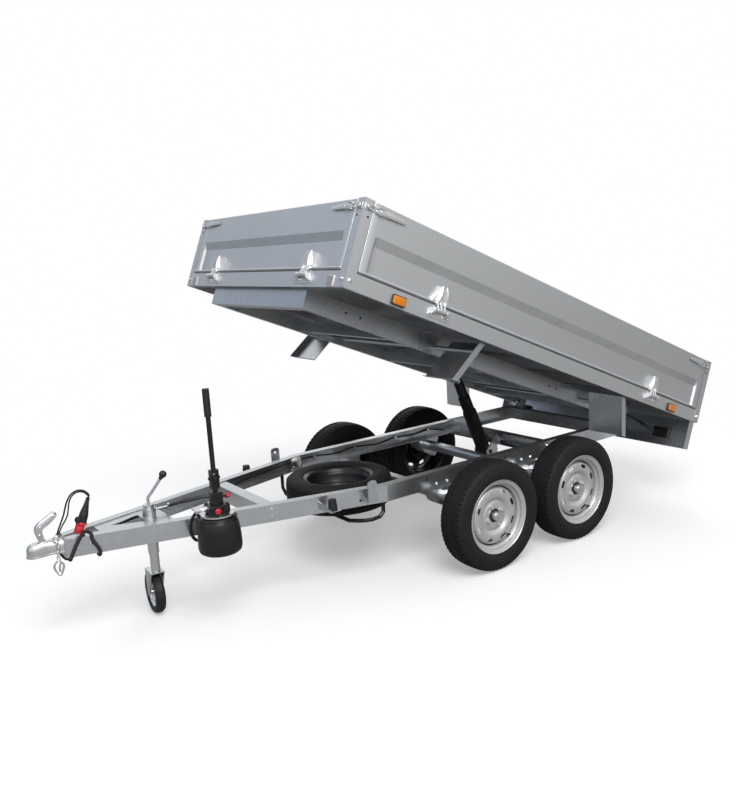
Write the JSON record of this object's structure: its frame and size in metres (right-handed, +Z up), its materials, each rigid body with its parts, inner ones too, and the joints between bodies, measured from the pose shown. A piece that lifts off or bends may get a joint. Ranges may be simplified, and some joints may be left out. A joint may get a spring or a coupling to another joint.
{
  "type": "tandem-axle tipping trailer",
  "caption": "Two-axle tipping trailer with a hand-pumped telescopic cylinder, a bed with drop sides shown part raised, a jockey wheel and a flat-carried spare wheel.",
  "frame": {"origin": "on the ground, midway along the overall length and on the centreline", "axes": "+X towards the trailer's rear (the coupling is at -X), +Y to its right, +Z up"},
  "size_m": [3.713, 1.544, 1.782],
  "materials": {
    "galvanized": "hot-dip galvanized, softly mottled",
    "bed_sheet": "galvanized sheet, satin",
    "zinc": "bright zinc plating",
    "wheel_silver": "silver wheel paint",
    "black_paint": "black, satin",
    "tyre_rubber": "matt rubber",
    "rubber": "matt black",
    "plastic_black": "moulded",
    "amber": "amber lens",
    "clear_white": "white reflector",
    "lamp_red": "red lens"
  },
  "bodies": {
    "chassis": {"rail_left": "galvanized", "rubber_stop_left": "rubber", "rail_right": "galvanized", "rubber_stop_right": "rubber", "drawbar_plate": "galvanized", "coupling_head": "zinc", "coupling_handle": "zinc", "front_crossmember": "galvanized", "middle_crossmember": "galvanized", "rear_crossmember": "galvanized", "axle_front": "galvanized", "axle_rear": "galvanized", "spare_rim": "black_paint", "spare_tyre": "tyre_rubber", "spare_carrier": "zinc", "jockey_tube": "zinc", "jockey_crank": "zinc", "pump_bracket": "zinc", "hand_pump": "black_paint", "pump_hose": "rubber", "cable": "rubber", "plug": "plastic_black"},
    "bed": {"bed_floor": "bed_sheet", "bed_subframe": "galvanized", "mudflaps_front": "galvanized", "mudflaps_rear": "galvanized", "light_board": "galvanized", "tail_lamp_left": "lamp_red", "tail_lamp_right": "lamp_red", "marker_front_left": "amber", "marker_rear_left": "amber", "marker_front_right": "amber", "marker_rear_right": "amber", "reflector_left": "clear_white", "reflector_right": "clear_white"},
    "drop_side_left": {"side_left": "bed_sheet"},
    "drop_side_right": {"side_right": "bed_sheet"},
    "drop_front_board": {"front_board": "bed_sheet"},
    "drop_tailgate": {"tailgate": "bed_sheet"},
    "wheel_front_left": {"rim_front_left": "wheel_silver", "tyre_front_left": "tyre_rubber"},
    "wheel_front_right": {"rim_front_right": "wheel_silver", "tyre_front_right": "tyre_rubber"},
    "wheel_rear_left": {"rim_rear_left": "wheel_silver", "tyre_rear_left": "tyre_rubber"},
    "wheel_rear_right": {"rim_rear_right": "wheel_silver", "tyre_rear_right": "tyre_rubber"},
    "jockey_leg": {"jockey_leg": "zinc"},
    "jockey_caster": {"jockey_fork": "zinc"},
    "jockey_wheel": {"jockey_rim": "zinc", "jockey_tyre": "tyre_rubber"},
    "pump_lever": {"pump_lever": "black_paint"},
    "cylinder_barrel": {"cylinder_barrel": "black_paint"},
    "cylinder_stage_2": {"cylinder_stage_2": "black_paint"},
    "cylinder_stage_3": {"cylinder_stage_3": "black_paint"},
    "cylinder_rod": {"cylinder_rod": "black_paint"}
  },
  "joints": [
    {"name": "bed_tilt", "type": "hinge", "parent": "chassis", "child": "bed", "pos_m": [1.43587, 0, 0.511], "axis": [0, 1, 0], "range_deg": [-21.88, 23.12]},
    {"name": "side_left_drop", "type": "hinge", "parent": "bed", "child": "drop_side_left", "pos_m": [0.51661, -0.764, 0.99871], "axis": [0.928, 0, -0.3727], "range_deg": [0, 180]},
    {"name": "side_right_drop", "type": "hinge", "parent": "bed", "child": "drop_side_right", "pos_m": [0.51661, 0.764, 0.99871], "axis": [-0.928, 0, 0.3727], "range_deg": [0, 180]},
    {"name": "front_board_drop", "type": "hinge", "parent": "bed", "child": "drop_front_board", "pos_m": [-0.71665, 0, 1.49398], "axis": [0, -1, 0], "range_deg": [0, 180]},
    {"name": "tailgate_drop", "type": "hinge", "parent": "bed", "child": "drop_tailgate", "pos_m": [1.74988, 0, 0.50344], "axis": [0, 1, 0], "range_deg": [0, 180]},
    {"name": "wheel_front_left_spin", "type": "hinge", "parent": "chassis", "child": "wheel_front_left", "pos_m": [0.1364, -0.637, 0.273], "axis": [0, 1, 0], "continuous": true},
    {"name": "wheel_front_right_spin", "type": "hinge", "parent": "chassis", "child": "wheel_front_right", "pos_m": [0.1364, 0.637, 0.273], "axis": [0, 1, 0], "continuous": true},
    {"name": "wheel_rear_left_spin", "type": "hinge", "parent": "chassis", "child": "wheel_rear_left", "pos_m": [0.7384, -0.637, 0.273], "axis": [0, 1, 0], "continuous": true},
    {"name": "wheel_rear_right_spin", "type": "hinge", "parent": "chassis", "child": "wheel_rear_right", "pos_m": [0.7384, 0.637, 0.273], "axis": [0, 1, 0], "continuous": true},
    {"name": "jockey_leg_slide", "type": "slide", "parent": "chassis", "child": "jockey_leg", "axis": [0, 0, 1], "range_m": [0, 0.08]},
    {"name": "jockey_swivel", "type": "hinge", "parent": "jockey_leg", "child": "jockey_caster", "pos_m": [-1.3276, 0, 0], "axis": [0, 0, 1], "continuous": true},
    {"name": "jockey_wheel_spin", "type": "hinge", "parent": "jockey_caster", "child": "jockey_wheel", "pos_m": [-1.32281, 0.05479, 0.1], "axis": [0.9962, -0.0872, 0], "continuous": true},
    {"name": "pump_lever_swing", "type": "hinge", "parent": "chassis", "child": "pump_lever", "pos_m": [-1.1446, -0.31678, 0.675], "axis": [1, 0, 0], "range_deg": [-35, 35]},
    {"name": "cylinder_swing", "type": "hinge", "parent": "chassis", "child": "cylinder_barrel", "pos_m": [0.7164, 0, 0.372], "axis": [0, 1, 0], "range_deg": [-24.27, 25.63]},
    {"name": "cylinder_stage_2_slide", "type": "slide", "parent": "cylinder_barrel", "child": "cylinder_stage_2", "axis": [-0.3914, 0, 0.9202], "range_m": [-0.09421, 0.09952]},
    {"name": "cylinder_stage_3_slide", "type": "slide", "parent": "cylinder_stage_2", "child": "cylinder_stage_3", "axis": [-0.3914, 0, 0.9202], "range_m": [-0.09421, 0.09952]},
    {"name": "cylinder_rod_slide", "type": "slide", "parent": "cylinder_stage_3", "child": "cylinder_rod", "axis": [-0.3914, 0, 0.9202], "range_m": [-0.09421, 0.09952]}
  ],
  "couplings": [
    {"joint": "cylinder_swing", "follows": "bed_tilt", "ratio": 1.1},
    {"joint": "cylinder_stage_2_slide", "follows": "bed_tilt", "m_per_rad": 0.2454},
    {"joint": "cylinder_stage_3_slide", "follows": "bed_tilt", "m_per_rad": 0.2454},
    {"joint": "cylinder_rod_slide", "follows": "bed_tilt", "m_per_rad": 0.2454}
  ]
}
